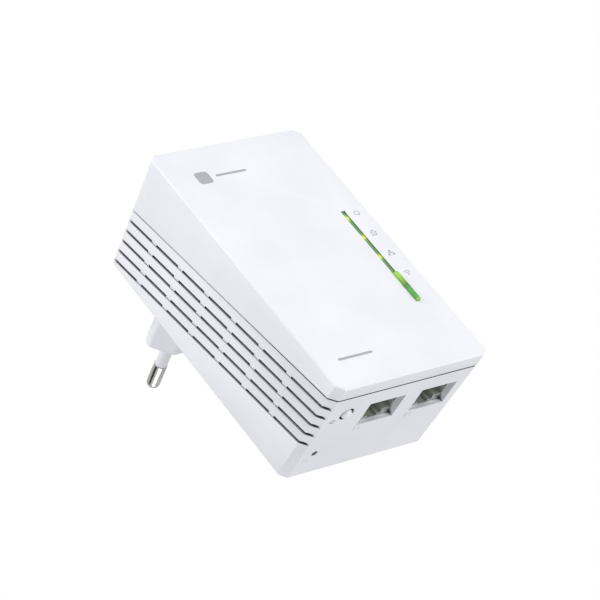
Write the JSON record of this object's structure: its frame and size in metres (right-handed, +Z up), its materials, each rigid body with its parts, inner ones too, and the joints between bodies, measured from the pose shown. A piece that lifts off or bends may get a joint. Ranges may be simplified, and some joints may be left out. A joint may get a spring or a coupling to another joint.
{
  "type": "powerline adapter",
  "caption": "Boxy wall-plug network adapter with a slanting vent band, a round-pin plug, network sockets underneath and a green light strip with a key.",
  "frame": {"origin": "centre of the plug's end face, midway between its two pins, where it meets the bottom of the wall socket", "axes": "+Z up as the adapter hangs on a wall, ports facing down; +Y along the plug into the wall; the front cover faces -Y; +X to the right seen from the front"},
  "size_m": [0.054, 0.0774, 0.0939],
  "materials": {
    "white_casing": "satin white moulded plastic",
    "white_key": "glossy white plastic",
    "green_translucent": "translucent green light guide plastic",
    "nickel": "bright nickel plating",
    "sleeve": "light grey insulating plastic",
    "brass_strap": "stamped brass",
    "label_paper": "printed film",
    "board_green": "green solder mask on glass fibre",
    "screw_steel": "zinc plated steel",
    "fuse_body": "brown sleeve",
    "varistor_blue": "blue lacquer",
    "capacitor_yellow": "yellow box plastic",
    "ferrite": "dark sintered ferrite",
    "copper_winding": "lacquered copper wire",
    "chip_black": "black moulding compound",
    "capacitor_sleeve": "dark shrink sleeve on aluminium",
    "bobbin_black": "black bobbin plastic",
    "connector_black": "black connector plastic",
    "gold_pin": "gold plating",
    "jack_grey": "grey connector plastic",
    "aluminium": "extruded aluminium",
    "tin_can": "tinned steel",
    "light_chip": "clear epoxy",
    "switch_plunger": "black plunger plastic"
  },
  "bodies": {
    "casing": {"antenna_left": "board_green", "antenna_right": "board_green", "board_capacitors": "capacitor_sleeve", "bridge_rectifier": "chip_black", "bulk_capacitors": "capacitor_sleeve", "choke_core": "ferrite", "choke_windings": "copper_winding", "coupling_transformer": "chip_black", "crystals": "tin_can", "flash_chip": "chip_black", "front_cover": "white_casing", "fuse": "fuse_body", "header_pins": "gold_pin", "header_socket": "connector_black", "header_strip": "connector_black", "heat_sink": "aluminium", "lan_contacts_left": "gold_pin", "lan_contacts_right": "gold_pin", "lan_jack_left": "jack_grey", "lan_jack_right": "jack_grey", "lan_magnetics": "chip_black", "light_guide": "green_translucent", "main_board": "board_green", "main_board_screws": "screw_steel", "mains_strap_left": "brass_strap", "mains_strap_right": "brass_strap", "memory_chip": "chip_black", "optocoupler": "chip_black", "output_capacitor": "capacitor_sleeve", "pair_switch_body": "bobbin_black", "pin_carrier": "white_casing", "pin_sleeve_left": "sleeve", "pin_sleeve_right": "sleeve", "plc_chip": "chip_black", "plug_boss": "white_casing", "plug_pin_left": "nickel", "plug_pin_right": "nickel", "power_board": "board_green", "power_board_screws": "screw_steel", "power_inductors": "ferrite", "rating_label": "label_paper", "rear_housing": "white_casing", "reset_switch_body": "bobbin_black", "status_lights": "light_chip", "switching_chip": "chip_black", "transformer_bobbin": "bobbin_black", "transformer_core": "ferrite", "transformer_winding": "copper_winding", "varistor": "varistor_blue", "wifi_chip": "chip_black", "wifi_shield": "tin_can", "wifi_switch_body": "bobbin_black", "x_capacitor": "capacitor_yellow", "y_capacitor": "varistor_blue"},
    "wifi_key": {"wifi_button": "green_translucent"},
    "wifi_plunger": {"wifi_switch_plunger": "switch_plunger"},
    "pair_key": {"pair_button": "white_key"},
    "pair_plunger": {"pair_switch_plunger": "switch_plunger"},
    "reset_plunger": {"reset_switch_plunger": "switch_plunger"}
  },
  "joints": [
    {"name": "wifi_button_press", "type": "slide", "parent": "casing", "child": "wifi_key", "axis": [0, 1, 0], "range_m": [0, 0.0003], "stiffness_N_per_m": 2500},
    {"name": "wifi_switch_press", "type": "slide", "parent": "casing", "child": "wifi_plunger", "axis": [0, 1, 0], "range_m": [0, 0.0003]},
    {"name": "pair_button_press", "type": "slide", "parent": "casing", "child": "pair_key", "axis": [0, 0, 1], "range_m": [0, 0.0003], "stiffness_N_per_m": 2500},
    {"name": "pair_switch_press", "type": "slide", "parent": "casing", "child": "pair_plunger", "axis": [0, 0, 1], "range_m": [0, 0.0003]},
    {"name": "reset_switch_press", "type": "slide", "parent": "casing", "child": "reset_plunger", "axis": [0, 0, 1], "range_m": [0, 0.0003], "stiffness_N_per_m": 2500}
  ],
  "couplings": [
    {"joint": "wifi_switch_press", "follows": "wifi_button_press", "ratio": 1},
    {"joint": "pair_switch_press", "follows": "pair_button_press", "ratio": 1}
  ]
}
